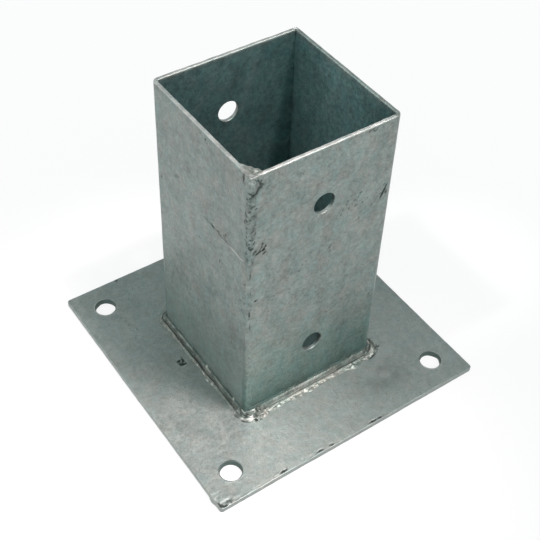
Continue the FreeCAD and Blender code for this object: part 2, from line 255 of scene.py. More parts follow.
FRONT_MARKS = [
    (12.5, 117, 0.55, 0.4, 20, -0.1, 0.9), (14.5, 119.5, 0.5, 0.35, -30, -0.1, 0.8),
    (19.5, 119, 0.6, 0.4, 10, -0.1, 0.8), (10.5, 113, 0.6, 0.35, 50, -0.08, 0.7),
    (17.5, 112.5, 0.7, 0.4, 20, -0.1, 0.9), (20.8, 112.5, 0.45, 0.35, 0, -0.08, 0.8),
    (23.5, 114, 0.5, 0.35, 60, -0.08, 0.7), (12, 115.5, 0.5, 0.35, 30, -0.08, 0.7),
    (16.5, 116, 0.6, 0.35, -20, -0.08, 0.75), (15.4, 114.2, 0.4, 0.3, 0, -0.08, 0.7),
    (18.4, 117.2, 0.45, 0.3, 40, -0.08, 0.6), (13.6, 112.2, 0.45, 0.3, 0, -0.08, 0.7),
    (20, 104, 0.7, 0.35, 70, -0.08, 0.6), (9.4, 110.5, 0.5, 0.3, 30, -0.06, 0.6),
    (31.6, 111.6, 1.3, 0.6, 55, -0.14, 1), (32.6, 114, 1.4, 0.6, 60, -0.14, 1),
    (33.6, 116.4, 1, 0.5, 70, -0.12, 0.9), (33.8, 112.6, 1.2, 0.45, 80, -0.12, 0.9),
    (30.6, 112.8, 0.7, 0.4, 20, -0.1, 0.7), (32.2, 117.6, 0.6, 0.35, 40, -0.08, 0.7),
    (21, 151.4, 1, 0.35, 10, -0.1, 0.7), (23, 150.6, 1, 0.4, -20, -0.1, 0.7),
    (24.6, 151.6, 0.8, 0.35, 30, -0.1, 0.6), (22.3, 152.1, 0.7, 0.3, 0, -0.08, 0.6),
    (-24, 90, 0.6, 0.35, 30, -0.08, 0.55), (-16, 92, 0.6, 0.35, 60, -0.08, 0.5),
    (-7.5, 92, 0.6, 0.35, 40, -0.08, 0.5), (5, 94, 1.2, 0.35, 75, -0.08, 0.75),
    (5.4, 91.6, 0.6, 0.3, 90, -0.06, 0.55), (8, 88.5, 0.45, 0.3, 0, -0.08, 0.6),
    (-10.6, 88, 0.5, 0.3, 10, -0.07, 0.6), (-9.2, 90.6, 0.5, 0.3, 10, -0.07, 0.5),
    (-15.4, 79.4, 0.6, 0.3, 85, -0.08, 0.6), (-15.6, 77.2, 0.5, 0.3, 85, -0.08, 0.5),
    (32.3, 48.5, 0.7, 0.35, 80, -0.08, 0.6), (0.8, 66, 0.45, 0.3, 0, -0.08, 0.6),
    (-32.8, 82, 0.6, 0.5, 0, -0.12, 1), (-26.6, 71.5, 0.5, 0.3, 30, -0.08, 0.6),
    (-12.8, 61, 0.5, 0.3, 10, -0.06, 0.45), (26.5, 108.6, 0.7, 0.35, 55, -0.08, 0.6),
    (28.2, 110.2, 0.8, 0.3, 60, -0.08, 0.5), (-20.5, 128.8, 0.8, 0.3, 70, -0.05, 0.35),
]
LEFT_MARKS = [
    (5.3, 150, 0.8, 0.4, 40, -0.1, 0.8), (6.6, 148.8, 0.5, 0.35, 0, -0.08, 0.5),
    (-32.5, 103, 0.9, 0.5, 80, -0.08, 0.55), (-19, 113, 2.6, 0.9, 40, -0.05, 0.35),
    (-1, 91, 0.7, 0.35, 50, -0.08, 0.5), (15.5, 90, 1.2, 0.4, 85, -0.1, 0.75),
    (8, 95, 0.5, 0.35, 0, -0.08, 0.5), (32, 80, 0.8, 0.4, 60, -0.08, 0.6),
    (20.5, 67.5, 0.5, 0.35, 0, -0.08, 0.6), (1.5, 108, 0.6, 0.4, 0, -0.08, 0.6),
    (20.5, 109.5, 0.7, 0.4, 20, -0.1, 0.8), (11, 110.5, 0.6, 0.35, 0, -0.08, 0.6),
    (33, 75, 0.5, 0.4, 0, -0.1, 0.8), (28.4, 74.6, 0.5, 0.35, 0, -0.08, 0.6),
    (-8.5, 124, 1.8, 0.5, -40, -0.05, 0.3), (14, 128, 1.6, 0.4, -45, -0.05, 0.28),
    (33, 151, 1.2, 0.5, 60, -0.12, 0.9), (33.5, 149, 1, 0.5, 80, -0.12, 0.9),
]
PLATE_MARKS = [
    (-46.6, 8.2, 1.3, 0.7, 20, -0.3, 1), (-44.6, 7.8, 1.4, 0.7, 80, -0.3, 1),
    (-45.8, 5.6, 1.5, 0.7, -20, -0.28, 1), (-47.2, 6.6, 0.7, 0.5, 0, -0.2, 0.8),
    (-40, -73.6, 2.2, 0.6, 0, -0.3, 1), (-18.8, -73.7, 1.9, 0.5, 0, -0.25, 1),
    (-12.5, -73.8, 1.1, 0.5, 0, -0.25, 0.9), (12, -73.8, 2.2, 0.5, 0, -0.25, 1),
    (16.2, -73.9, 1.4, 0.5, 0, -0.25, 0.9), (-46, 74, 0.9, 0.5, 0, -0.2, 0.8),
    (43.5, -38.5, 0.7, 0.5, 20, -0.1, 0.7), (55.5, 8.2, 0.9, 0.5, 30, -0.06, 0.4),
]


def local_marks(u, v, marks):
    """Height and darkness that a list of marks gives at each (u, v)."""
    height = np.zeros(len(u))
    dark = np.zeros(len(u))
    for cu, cv, length, width, lean, rise, tone in marks:
        near = np.nonzero((abs(u - cu) < 3 * length + 1) & (abs(v - cv) < 3 * length + 1))[0]
        du, dv = u[near] - cu, v[near] - cv
        c, s = math.cos(math.radians(lean)), math.sin(math.radians(lean))
        along, across = du * c + dv * s, dv * c - du * s
        ragged = 1 + 0.45 * noise(np.c_[u[near], v[near], near * 0], 0.7, 31)
        reach = np.hypot(along / length, across / width) * ragged
        inside = 1 - ramp(reach, 0.7, 1.35)
        lip = bell(reach - 1.5, 0.28)
        height[near] += rise * inside + 0.35 * abs(rise) * lip
        dark[near] = np.maximum(dark[near], tone * inside)
    return height, dark


def left_score(u, v):
    """Height and darkness of the long score across the left wall, bright at its far end."""
    along = np.c_[u, u * 0, u * 0]
    wander = 0.5 * noise(along, 6.0, 3) + 0.18 * noise(along, 1.3, 4)
    line = 106.4 - 0.036 * np.clip(u - 8, 0, 40) + wander
    length = ramp(u, -1, 6) * (1 - ramp(u, 33, 36))
    groove = bell(v - line, 0.35) * length
    bright = bell(v - line + 0.25, 0.3) * ramp(u, 21, 25) * (1 - ramp(u, 33.5, 35))
    patchy = noise(np.c_[u, v, v * 0], 1.1, 8) > 0.15
    rough = bell(v - 106.8, 1.0) * ramp(u, 7, 10) * (1 - ramp(u, 19, 22)) * patchy
    return -0.10 * groove + 0.06 * bright, np.clip(0.45 * groove + 0.6 * rough - bright, -1, 1)


# ---- materials

MIX_A, MIX_B, MIX_OUT = 6, 7, 2  # a Mix node's sockets for colours


class Nodes:
    """Short hand for building a node tree."""

    def __init__(self, tree):
        self.tree = tree
        tree.nodes.clear()

    def add(self, kind, inputs=None, **settings):
        node = self.tree.nodes.new(kind)
        for key, value in settings.items():
            setattr(node, key, value)
        for key, value in (inputs or {}).items():
            self.put(node.inputs[key], value)
        return node

    def put(self, socket, value):
        if isinstance(value, bpy.types.NodeSocket):
            self.tree.links.new(value, socket)
        else:
            socket.default_value = value

    def math(self, operation, a, b=0.0, clamp=False):
        settings = {"operation": operation, "use_clamp": clamp}
        return self.add("ShaderNodeMath", {0: a, 1: b}, **settings).outputs[0]

    def weigh(self, *pairs):
        """The sum of values, each times its weight."""
        total = None
        for value, weight in pairs:
            part = self.math("MULTIPLY", value, weight)
            total = part if total is None else self.math("ADD", total, part)
        return total

    def attribute(self, name):
        return self.add("ShaderNodeAttribute", attribute_name=name).outputs["Fac"]

    def remap(self, *values):
        """The value, then the range it has and the range it gets."""
        return self.add("ShaderNodeMapRange", dict(enumerate(values)), clamp=True).outputs[0]

    def mix(self, factor, a, b, blend="MIX"):
        inputs = {0: factor, MIX_A: a, MIX_B: b}
        node = self.add("ShaderNodeMix", inputs, data_type="RGBA", blend_type=blend)
        return node.outputs[MIX_OUT]

    def noise(self, vector, scale, detail, roughness, distortion=0.0):
        inputs = {"Vector": vector, "Scale": scale, "Detail": detail, "Roughness": roughness,
                  "Distortion": distortion}
        return self.add("ShaderNodeTexNoise", inputs).outputs["Fac"]

    def stretch(self, vector, scale, turn):
        inputs = {"Vector": vector, "Scale": scale, "Rotation": [math.radians(a) for a in turn]}
        return self.add("ShaderNodeMapping", inputs).outputs[0]

    def close(self, shader, kind="ShaderNodeOutputMaterial"):
        self.tree.links.new(shader.outputs[0], self.add(kind).inputs[0])


def new_material(name):
    material = bpy.data.materials.new(name)
    material.use_nodes = True
    return material, Nodes(material.node_tree)


def grey(value, tint):
    return tuple(value * t for t in tint) + (1.0,)


NEUTRAL = (1, 1, 1)
# painted shade: the teal cast of the sleeve's shaded, inter-reflecting inside
INSIDE_SHADE_TINT = (0.90, 1.25, 1.32, 1)
# painted shade: the greenish cast at the sleeve's foot, the weld toes and the bores
FOOT_SHADE_TINT = (0.78, 1.0, 0.98, 1)
# stains and painted shade share this dark colour
STAIN_AND_SHADE = grey(0.035, (0.72, 1.0, 0.88))
# rubbed places and painted highlights share this pale tint
SHEEN_AND_RUBBED_TINT = (1, 1, 0.97)


def zinc(name, light, dull, rough, grain, tint=(0.84, 1.0, 0.94), spots=0.5, metallic=0.86,
         hues=0.095):
    """Hot-dip zinc: grey metal clouded from light to dull, with specks and a fine grain.

    grain, spots and hues are the strengths of relief, specks and warm or cool patches. The
    mesh's attributes are dark (above 0 stained or painted shade, below 0 rubbed bright or
    painted highlight), inside (the painted teal shade inside the sleeve) and foot (the painted
    greenish shade at the foot, the weld toes and the bores).
    """
    material, n = new_material(name)
    place = n.add("ShaderNodeTexCoord").outputs["Object"]
    # tone: clouds 20 mm across down to grains of half a millimetre, crossed by leaning runs
    clouds = n.noise(place, 80.0, 4.0, 1.0, 0.2)
    runs = n.noise(n.stretch(place, (1.0, 1.0, 0.30), (28, -28, 0)), 120.0, 3.0, 0.7, 0.4)
    fine = n.noise(place, 480.0, 2.0, 0.9)
    speck = n.noise(place, 1500.0, 2.0, 0.5)
    tone = n.weigh((clouds, 0.46), (runs, 0.16), (fine, 0.38))
    cloudy = n.remap(tone, 0.40, 0.60, 0.0, 1.0)
    base = n.mix(cloudy, grey(dull, NEUTRAL), grey(light, NEUTRAL))
    # hue: warm and cool patches a few millimetres across
    hue = n.noise(n.stretch(place, (1, 1, 0.7), (20, -20, 0)), 150.0, 4.0, 0.8, 0.2)
    cool = grey(1.0, (tint[0] * (1 - hues), tint[1], tint[2] * 1.01))
    warm = grey(1.0, (tint[0] * (1 + hues), tint[1], tint[2] * 0.99))
    base = n.mix(1.0, base, n.mix(n.remap(hue, 0.38, 0.62, 0.0, 1.0), cool, warm), "MULTIPLY")
    # stains and painted shade, the painted shade tints inside and at the foot, specks, and rubbed
    # places and painted highlights, from the attributes
    marks, inside, foot = n.attribute("dark"), n.attribute("inside"), n.attribute("foot")
    base = n.mix(inside, base, n.mix(1.0, base, INSIDE_SHADE_TINT, "MULTIPLY"))
    base = n.mix(foot, base, n.mix(1.0, base, FOOT_SHADE_TINT, "MULTIPLY"))
    crowded = n.math("MULTIPLY", speck, n.remap(clouds, 0.4, 0.6, 0.9, 1.1))
    pit = n.remap(crowded, 0.66, 0.72, 0.0, spots)
    base = n.mix(pit, base, grey(0.05, tint))
    base = n.mix(n.math("MAXIMUM", marks, 0.0), base, STAIN_AND_SHADE)
    sheen_and_rubbing = n.math("MULTIPLY", n.math("MINIMUM", marks, 0.0), -1.0, clamp=True)
    base = n.mix(sheen_and_rubbing, base, grey(light * 1.8, SHEEN_AND_RUBBED_TINT))
    # surface
    roughness = n.remap(n.weigh((runs, 0.4), (fine, 0.6)), 0.35, 0.65, rough[0], rough[1])
    roughness = n.math("ADD", roughness, n.math("MULTIPLY", n.math("ABSOLUTE", marks), 0.22))
    relief = n.weigh((clouds, 0.9), (fine, 0.35), (speck, 0.12))
    bump = n.add("ShaderNodeBump", {"Height": relief, "Strength": 0.5, "Distance": 0.00030 * grain})
    shader = n.add("ShaderNodeBsdfPrincipled", {"Base Color": base, "Metallic": metallic,
                                                "Roughness": roughness, "Normal": bump.outputs[0]})
    n.close(shader)
    return material


def floor_white():
    """White floor. Camera, glossy and transmission rays see it 80% plain white and 20% lit,
    which keeps the object's shadow; all other rays see it lit.
    """
    material, n = new_material("floor_white")
    path = n.add("ShaderNodeLightPath")
    seen = n.math("MAXIMUM", path.outputs["Is Camera Ray"], path.outputs["Is Glossy Ray"])
    seen = n.math("MAXIMUM", seen, path.outputs["Is Transmission Ray"])
    lit = n.add("ShaderNodeBsdfDiffuse", {"Color": (0.86, 0.86, 0.86, 1)})
    white = n.add("ShaderNodeEmission", {"Color": (1, 1, 1, 1), "Strength": 1.0})
    share = n.math("MULTIPLY", seen, 0.8)
    n.close(n.add("ShaderNodeMixShader", {0: share, 1: lit.outputs[0], 2: white.outputs[0]}))
    return material


# ---- sleeve

# u runs along a sheet from one upright edge to the other; v runs up its outside, over the
# rim and down its inside.
BEND_LENGTH = math.pi * (MIDDLE - BEND_CENTRE) / 2
LEG = INNER + BEND_CENTRE  # u where the first leg ends and the bend begins
ROUND = 0.5  # radius of the rim's two edges
RISE = RIM - PLATE_TOP - ROUND  # v where the rounding begins
RIM_ARC = ROUND * math.pi / 2
RIM_FLAT = 2 * (HALF_SHEET - ROUND)
V_DOWN = RISE + 2 * RIM_ARC + RIM_FLAT  # v where the straight way down inside begins
V_END = RISE + V_DOWN


def sheet_path(u):
    """Middle line of a folded sheet and its outward direction at each u."""
    bend = (u - LEG) / (MIDDLE - BEND_CENTRE)
    angle = np.clip(bend, 0, math.pi / 2)
    out = np.stack([np.sin(angle), -np.cos(angle), angle * 0], -1)
    line = np.stack([np.full_like(u, BEND_CENTRE), np.full_like(u, -BEND_CENTRE), u * 0], -1)
    line = line + out * (MIDDLE - BEND_CENTRE)
    line[:, 0] += np.minimum(u - LEG, 0)
    line[:, 1] += np.maximum(u - LEG - BEND_LENGTH, 0)
    return line, out


def rim_profile(v):
    """Offset from the middle line, height, and the normal's outward and upward parts along v."""
    flat_start = RISE + RIM_ARC
    flat_end = flat_start + RIM_FLAT
    a = np.clip((v - RISE) / ROUND, 0, math.pi / 2)
    b = np.clip((v - flat_end) / ROUND, 0, math.pi / 2)
    offset = HALF_SHEET - ROUND + ROUND * np.cos(a) - ROUND * np.sin(b)
    offset = offset - np.clip(v - flat_start, 0, RIM_FLAT)
    height = PLATE_TOP + np.minimum(v, RISE) + ROUND * np.sin(a) - ROUND * (1 - np.cos(b))
    height = height - np.maximum(v - V_DOWN, 0)
    return offset, np.minimum(height, RIM), np.cos(a + b), np.sin(a + b)


def sheet_skin(name, half_turn, material):
    """One folded sheet as a skin that runs up the outside, over the rim and down inside.

    The legs the photo shows from outside have the finer grid: the front sheet's holed leg
    and the rear sheet's plain leg.
    """
    fine, coarse, inner_step, bend_step, edge_step, top_step = 0.5, 1.6, 1.2, 0.26, 0.21, 0.3
    holed, plain = (coarse, fine) if half_turn else (fine, coarse)
    hole_u = INNER
    u_stops = [(0.0, holed), (hole_u - HOLE_PATCH, PATCH_STEP), (hole_u + HOLE_PATCH, holed),
               (LEG, bend_step), (LEG + BEND_LENGTH, plain), (2 * LEG + BEND_LENGTH, plain)]
    outer = [z - PLATE_TOP for z in BOLT_HEIGHTS]
    inner = [V_END - v for v in reversed(outer)]
    v_stops = [(0.0, fine)]
    for v in outer:
        v_stops += [(v - HOLE_PATCH, PATCH_STEP), (v + HOLE_PATCH, fine)]
    v_stops += [(RISE, edge_step), (RISE + RIM_ARC, top_step),
                (RISE + RIM_ARC + RIM_FLAT, edge_step), (V_DOWN, inner_step)]
    for v in inner:
        v_stops += [(v - HOLE_PATCH, PATCH_STEP), (v + HOLE_PATCH, inner_step)]
    v_stops.append((V_END, inner_step))
    us, vs = stops_to_lines(u_stops), stops_to_lines(v_stops)
    uv, faces, rings = pierced_grid(us, vs, [(hole_u, v) for v in outer + inner])
    u, v = uv[:, 0], uv[:, 1]
    line, out = sheet_path(u)
    offset, height, side, up = rim_profile(v)
    points = line + out * offset[:, None]
    points[:, 2] = height
    normal = out * side[:, None]
    normal[:, 2] = up
    outside = v < RISE + 0.3
    # low: share of the painted shade at the foot of the outside
    low = np.where(outside, foot_shade_share(height), 0)
    # shift is the way in or out from the true face: the zinc's own unevenness and the marks
    shift = 0.035 * fbm(points, 9.0, 11, 3) - 0.02
    shift += 0.02 * fbm(points, 2.2, 12, 2)
    if half_turn:
        outside &= u > LEG + BEND_LENGTH
        across = points[:, 1]
        rise, dark = local_marks(across, height, LEFT_MARKS)
        more_rise, more_dark = left_score(across, height)
        # painted light: the left wall is painted lighter towards its foot
        rise, dark = rise + more_rise, dark + more_dark - 0.22 * low
    else:
        outside &= u < LEG
        rise, dark = local_marks(u - INNER, height, FRONT_MARKS)
        # painted shade: the front wall is painted darker towards its foot
        dark = np.maximum(dark, 0.24 * low * low)
    shift += np.where(outside, rise, 0)
    dark = np.where(outside, dark, 0)
    if half_turn:
        # inside, opposite the mouth's near corner: a dull patch above the bolt hole and a
        # paler run beside it
        within = (u < LEG) & (v > RISE + 2 * ROUND)
        x = -points[:, 0]
        patch_at = np.c_[x, height, x * 0]
        lean = x - 5.5 - 0.28 * (height - 138)
        dull = bell(np.hypot(lean / 3.2, (height - 139) / 7.5), 0.8)
        dull = dull * (1 + 0.5 * fbm(patch_at, 3.0, 15, 2))
        pale = bell(lean - 6.5, 1.6) * bell(height - 134, 8.0) * 0.10
        dark = dark + np.where(within, 0.42 * dull - pale, 0)
    rim = ramp(height, RIM - 0.8, RIM - 0.05)
    shift += rim * (0.10 * fbm(points, 3.2, 13, 2) - 0.10)
    # the weld pad lies over the rim's ends at the near corner
    under_pad = ramp(u, us[-1] - 6.5, us[-1] - 4.5) if half_turn else 1 - ramp(u, 3.5, 5.0)
    shift -= 0.40 * rim * under_pad
    # painted highlight: the rim's top is painted bright, but for the front sheet's plain leg, which
    # gets a little painted shade
    sheen_and_rubbing = np.where(u < LEG, 0.42, 0.44) if half_turn else np.where(u < LEG, 0.44, -0.10)
    dark = dark - rim * sheen_and_rubbing * (1 + 0.4 * fbm(points, 2.6, 14, 2))
    shift[np.concatenate(rings)] = 0
    shift = np.minimum(shift, 0.0)
    points = points + normal * shift[:, None]
    # inside: where the painted teal shade of the sleeve's inside goes
    inside = ramp(v, RISE + 1.5, RISE + 6.0)
    for k, z in enumerate(BOLT_HEIGHTS):
        ring_a, ring_b = rings[k], rings[len(rings) - 1 - k]
        middle = np.array([0.0, -MIDDLE, z])
        more, walls = hole_wall(points, ring_a, ring_b, middle, (0, -1, 0), HALF_SHEET)
        points = np.concatenate([points, more])
        dark = np.concatenate([dark, bore_shade_and_highlight(more - middle)])
        faces += walls
    in_bores = np.zeros(len(points) - len(low))
    low, inside = np.append(low, in_bores), np.append(inside, in_bores)
    if half_turn:
        points = points * (-1, -1, 1)
    return make_mesh(name, points, faces, material, {"dark": dark, "inside": inside, "foot": low})


# ---- base plate

def round_corner(x, y):
    """Draw the plate's corners in to their radius."""
    reach = PLATE_HALF - PLATE_CORNER
    dx = np.maximum(abs(x) - reach, 0)
    dy = np.maximum(abs(y) - reach, 0)
    both = (dx > 0) & (dy > 0)
    scale = np.where(both, np.maximum(dx, dy) / np.maximum(np.hypot(dx, dy), 1e-9), 1)
    nx = np.where(both, reach + dx * scale, abs(x)) * np.sign(x)
    ny = np.where(both, reach + dy * scale, abs(y)) * np.sign(y)
    return nx, ny


def edge_bow(points):
    """How far the guillotined edges fall short of a true square, in mm."""
    return 0.22 + 0.16 * fbm(points, 34.0, 41, 2) + 0.05 * noise(points, 3.0, 42)


PLATE_FLAT = PLATE_HALF - 0.45  # how far the top and the underside reach before the edge


def plate_lines(near_step, step):
    """Grid lines across the plate, close together round the anchor holes."""
    return stops_to_lines([
        (-PLATE_FLAT, near_step), (-ANCHOR - HOLE_PATCH, PATCH_STEP), (-ANCHOR + HOLE_PATCH, step),
        (ANCHOR - HOLE_PATCH, PATCH_STEP), (ANCHOR + HOLE_PATCH, step), (PLATE_FLAT, step)])


def plate_skin(material):
    """The base plate: top, edges, underside and anchor bores."""
    us = plate_lines(0.42, 0.6)
    holes = [(x, y) for x in (-ANCHOR, ANCHOR) for y in (-ANCHOR, ANCHOR)]
    uv, faces, rings = pierced_grid(us, us, holes)
    x, y = uv[:, 0], uv[:, 1]
    rise, dark = local_marks(x, y, PLATE_MARKS)
    flat_points = np.c_[x, y, x * 0]
    shift = 0.03 * fbm(flat_points, 11.0, 21, 3) + 0.02 * fbm(flat_points, 2.4, 22, 2) - 0.05 + rise
    # the crusty front corner, a smudge before the front wall, and a painted highlight on the lips
    # round the bores
    crust = ramp(-x - y, 136, 146)
    shift += crust * (0.30 * fbm(flat_points, 1.9, 23, 3) - 0.12)
    dark = np.maximum(dark, crust * ramp(noise(flat_points, 1.3, 24), 0.1, 0.7) * 0.9)
    smudge = bell(np.hypot((x - 33) / 15, (y + 56) / 10), 0.75)
    dark = np.maximum(dark, 0.30 * smudge * (0.8 + 0.5 * fbm(flat_points, 5.0, 26, 2)))
    from_hole = np.hypot(abs(x) - ANCHOR, abs(y) - ANCHOR) - HOLE_R
    lipped = (1 - ramp(from_hole, 0.45, 1.1)) * (0.6 + 0.5 * noise(flat_points, 4.0, 27))
    dark = dark - 0.30 * lipped * ramp(x + y, -130, -100)
    # painted light on the plate's right front part
    dark -= 0.05 * ramp(x, 35, 55) * ramp(-y, -5, 25)
    near_edge = ramp(-y, 72.2, 74.4)
    shift += near_edge * (0.10 * fbm(flat_points, 2.2, 25, 2) - 0.05)
    shift[np.concatenate(rings)] = 0
    shift = np.minimum(shift, 0)
    nx, ny = round_corner(x, y)
    points = np.c_[nx, ny, PLATE_TOP + shift]
    # point numbers round the top's outline
    last = len(us) - 1
    ahead, back = np.arange(last), np.arange(last, 0, -1)
    loop = np.concatenate([ahead * len(us), last * len(us) + ahead, back * len(us) + last, back])
    lx, ly = x[loop], y[loop]
    # the edge, from the top down: (out from the centre, height)
    profile = [(PLATE_FLAT + 0.26, PLATE_TOP - 0.07), (PLATE_HALF - 0.06, PLATE_TOP - 0.24),
               (PLATE_HALF, PLATE_TOP - 0.5), (PLATE_HALF, PLATE_TOP - 1.1),
               (PLATE_HALF, PLATE_TOP - 1.8), (PLATE_HALF, 0.5), (PLATE_HALF - 0.07, 0.2),
               (PLATE_HALF - 0.3, 0.0)]
    previous = loop
    following = np.roll(np.arange(len(loop)), -1)
    start = len(points)
    added = []
    for out, z in profile:
        px, py = lx * out / PLATE_FLAT, ly * out / PLATE_FLAT
        px, py = round_corner(px, py)
        added.append(np.c_[px, py, np.full(len(px), z)])
        ring = start + np.arange(len(loop))
        start += len(loop)
        faces.append(np.stack([previous, ring, ring[following], previous[following]], -1))
        previous = ring
    points = np.concatenate([points] + added)
    side = np.maximum(abs(points[:, 0]), abs(points[:, 1]))
    draw = ramp(side, PLATE_HALF - 6, PLATE_HALF - 0.3) * np.maximum(edge_bow(points), 0.02)
    points[:, :2] *= (1 - draw / PLATE_HALF)[:, None]
    # the drip that froze on the left edge
    y, z = points[:, 1], points[:, 2]
    drip = 0.9 * bell(y + 68.2, 1.25) * bell(z - 1.3, 0.9)
    drip += 0.45 * bell(y + 66.2, 0.8) * bell(z - 1.9, 0.7)
    points[:, 0] -= np.where(points[:, 0] < -PLATE_HALF + 1.2, drip, 0)
    dark = np.concatenate([dark, np.zeros(len(points) - len(dark))])
    # underside, and the anchor bores
    base = len(points)
    under_lines = plate_lines(4, 4)
    under_uv, under_faces, under_rings = pierced_grid(under_lines, under_lines, holes)
    ux, uy = round_corner(under_uv[:, 0], under_uv[:, 1])
    points = np.concatenate([points, np.c_[ux, uy, ux * 0]])
    dark = np.concatenate([dark, np.zeros(len(ux))])
    faces += [f[:, ::-1] + base for f in under_faces]
    bore_start = len(points)
    for k, (hole_x, hole_y) in enumerate(holes):
        middle = np.array([hole_x, hole_y, PLATE_TOP / 2])
        more, walls = hole_wall(points, rings[k], under_rings[k] + base, middle, (0, 0, 1),
                                PLATE_TOP / 2, ragged=0.35)
        points = np.concatenate([points, more])
        # painted shade in the anchor bores
        dark = np.concatenate([dark, np.full(len(more), 0.62)])
        faces += [w[:, ::-1] for w in walls]
    # painted shade: the bores get the same painted greenish shade as the sleeve's foot
    bore = np.zeros(len(points))
    bore[bore_start:] = 1
    return make_mesh("plate_skin", points, faces, material, {"dark": dark, "foot": bore})


# ---- foot welds

# Four runs go round the sleeve's foot, each along one wall and round the corner at its end.
RUNS = ["left", "front", "right", "rear"]
WELD_CORNER = 3.0
STRAIGHT = 2 * (FACE - WELD_CORNER)
RUN = STRAIGHT + WELD_CORNER * math.pi / 2
# (outward, up) points of a bead's section: smooth toe on the wall, ridge, undercut, lip,
# spatter skirt
BEAD = [
    (-0.12, 4.2), (0, 3.6), (0.16, 3.1), (0.38, 2.72), (0.62, 2.5), (0.86, 2.34), (1.1, 2.02),
    (1.35, 1.6), (1.6, 1.22), (1.85, 0.92), (2.1, 0.74), (2.35, 0.72), (2.6, 0.86), (2.85, 0.92),
    (3.1, 0.78), (3.4, 0.52), (3.7, 0.34), (4.1, 0.24), (4.6, 0.17), (5.2, 0.09), (5.9, -0.02),
    (6.6, -0.14),
]
SKIRT_FROM = 2.7
# How wide each run's skirt is, as a share of the section's
SKIRT = {"left": 0.30, "front": 0.62, "right": 0.5, "rear": 0.5}
# Where the skirt spreads: (run, distance along it, half length, share more)
SPREADS = [
    ("front", 60, 4.5, 0.55), ("front", 30, 9, 0.15), ("front", 3, 4.5, 0.45),
    ("front", 75, 4.5, 0.5), ("left", 71, 3.5, 0.35), ("left", 44, 4, 0.25), ("right", 30, 6, 0.25),
]
# Where the bead is crusty with spatter: (run, distance along it, half length)
CRUSTS = [("front", 0.5, 4.6), ("front", 74.0, 4.0)]
# Lumps on the foot welds: (run, distance along it, outward, half length, half width, height)
FOOT_LUMPS = [
    ("front", 73, 2.4, 3.8, 2.6, 1.6), ("front", 70, 7.6, 1, 3.4, 0.7),
    ("front", 59, 4.6, 2.2, 1, 0.45), ("front", 61.5, 0.6, 1.5, 0.8, 0.5),
    ("front", 2.5, 2.6, 3.2, 1.8, 0.8), ("left", 68.5, 1.8, 2.6, 1.5, 0.7),
    ("front", 66.5, 3, 1.3, 0.9, 0.5), ("front", 47, 3.4, 1.6, 0.7, 0.35),
    ("left", 33.5, 3.1, 0.8, 0.6, 0.5), ("left", 39.5, 3.2, 0.9, 0.6, 0.55),
    ("left", 44.5, 3.6, 0.9, 0.6, 0.5), ("left", 47.5, 3.1, 0.8, 0.6, 0.45),
    ("left", 38.5, 0.25, 0.8, 0.6, 0.5), ("left", 62.5, 0.3, 0.9, 0.6, 0.6),
    ("rear", 72.5, 2.4, 1.6, 1, 0.25), ("right", 71.5, 2.8, 2.4, 2, 1.2),
]
# Painted light across a bead: the valley's width and painted shade, the ridge's place and the
# width of its painted highlight, the toe's painted shade, the lip's place and painted highlight
LEFT_BEAD_SHADING = (0.28, 0.70, 0.92, 0.19, 0.26, 2.9, 0.42)
OTHER_BEAD_SHADING = (0.34, 0.50, 1.05, 0.34, 0.34, 3.4, 0.36)


def around_foot(s, outward):
    """x and y at a distance along the foot and a distance out from the wall."""
    side = np.floor(s / RUN + 1e-9)
    along = s - side * RUN
    angle = np.clip((along - STRAIGHT) / WELD_CORNER, 0, math.pi / 2)
    out = np.stack([np.sin(angle), -np.cos(angle)], -1)
    start = -BEND_CENTRE
    at = np.stack([start + np.minimum(along, STRAIGHT), np.full_like(along, start)], -1)
    at = at + out * (WELD_CORNER + outward)[:, None]
    turn = (side - 1) * math.pi / 2
    cos, sin = np.cos(turn), np.sin(turn)
    return at[:, 0] * cos - at[:, 1] * sin, at[:, 0] * sin + at[:, 1] * cos


def past(s, run, at):
    """How far s lies past a place on a run, the short way round the foot."""
    return (s - RUNS.index(run) * RUN - at + 2 * RUN) % (4 * RUN) - 2 * RUN


